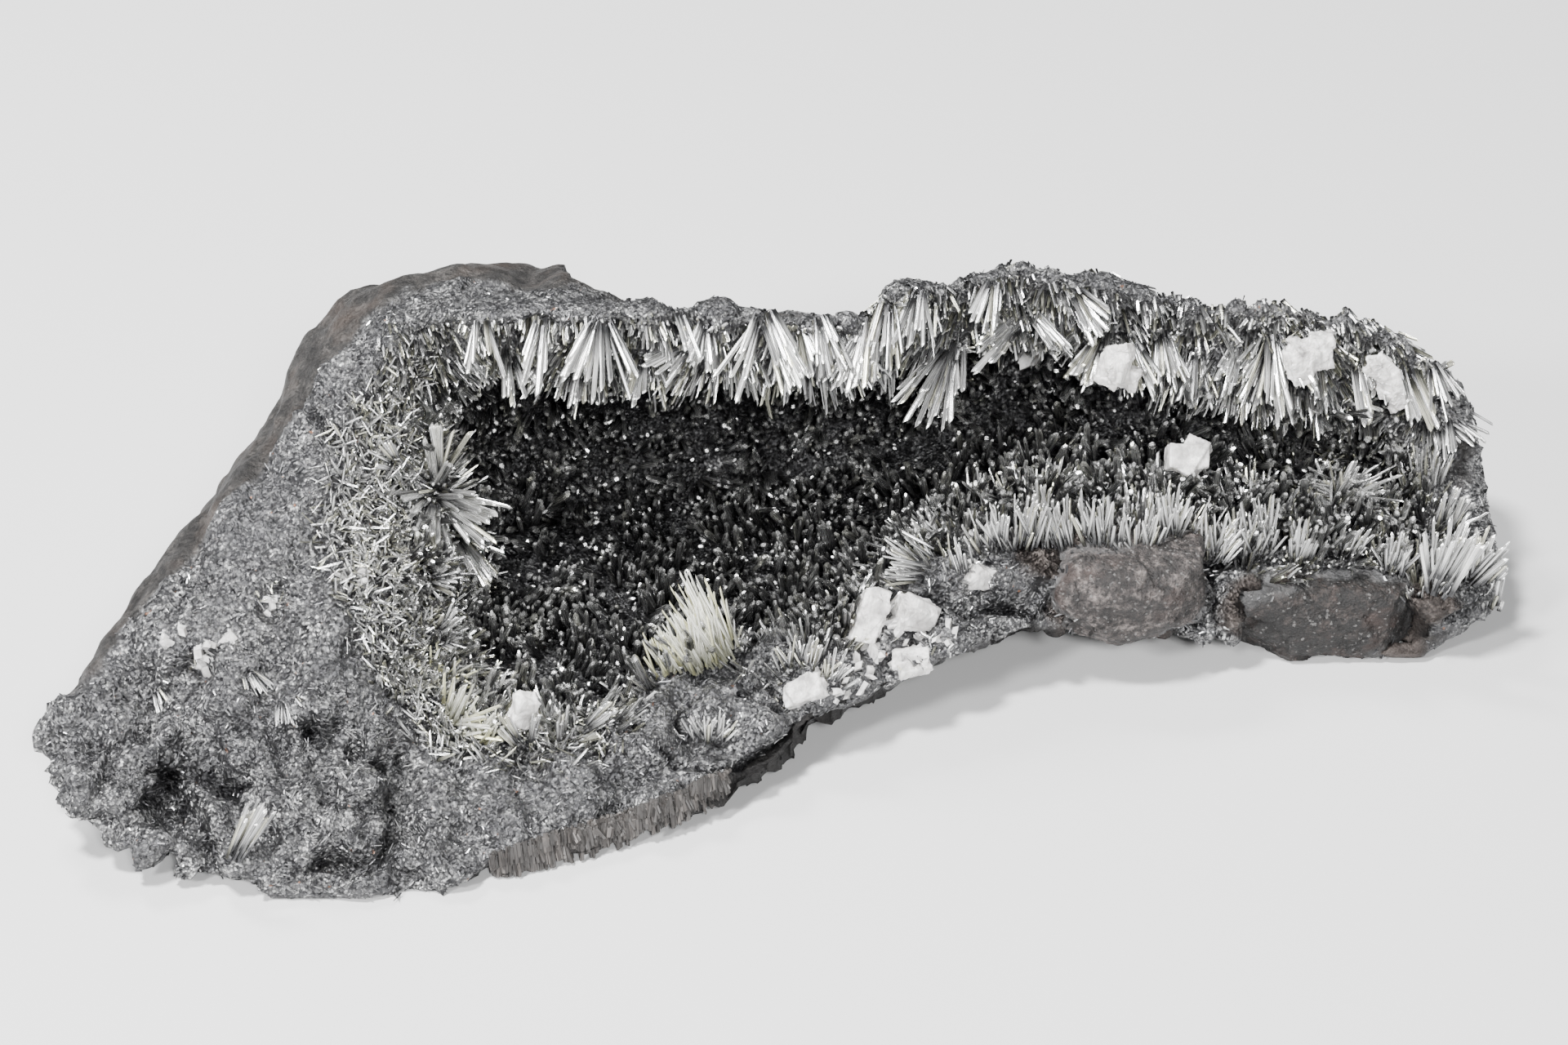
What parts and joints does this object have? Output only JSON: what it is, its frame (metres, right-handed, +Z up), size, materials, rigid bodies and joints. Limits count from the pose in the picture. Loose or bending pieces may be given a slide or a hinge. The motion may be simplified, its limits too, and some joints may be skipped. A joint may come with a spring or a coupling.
{
  "type": "pyrolusite mineral specimen",
  "caption": "Mineral specimen: a granular silver-grey ore mass with a dark open hollow lined with needle crystals, brown host rock and small white crystals.",
  "frame": {"origin": "middle of the footprint, on the surface that the specimen rests on", "axes": "+X runs along the specimen's length towards its broken right end, +Y from the open hollow in the front to the back, +Z up"},
  "size_m": [0.0894, 0.047, 0.0244],
  "materials": {
    "silver_ore": "metallic, finely granular and sparkling where broken, smooth dark grey rind",
    "black_needles": "bright metallic needles over black",
    "brown_rock": "rough dull brown host rock",
    "rusty_rock": "rough dull reddish-brown host rock",
    "white_crystal": "glassy, slightly cloudy white crystal"
  },
  "bodies": {
    "root": {"ore_body": "silver_ore", "cavity_needle_crust": "black_needles", "matrix_block_middle": "brown_rock", "matrix_block_right": "rusty_rock", "white_crystal_leaning_blade": "white_crystal", "white_crystal_block": "white_crystal", "white_crystal_flat": "white_crystal", "white_crystal_tabular": "white_crystal", "white_crystal_small": "white_crystal", "white_crystal_face": "white_crystal", "white_crystal_patch": "white_crystal", "white_crystal_upright": "white_crystal", "white_crystal_rim": "white_crystal", "white_crystal_lip": "white_crystal", "white_crystal_end": "white_crystal", "white_crystal_long_blade": "white_crystal"}
  },
  "joints": []
}
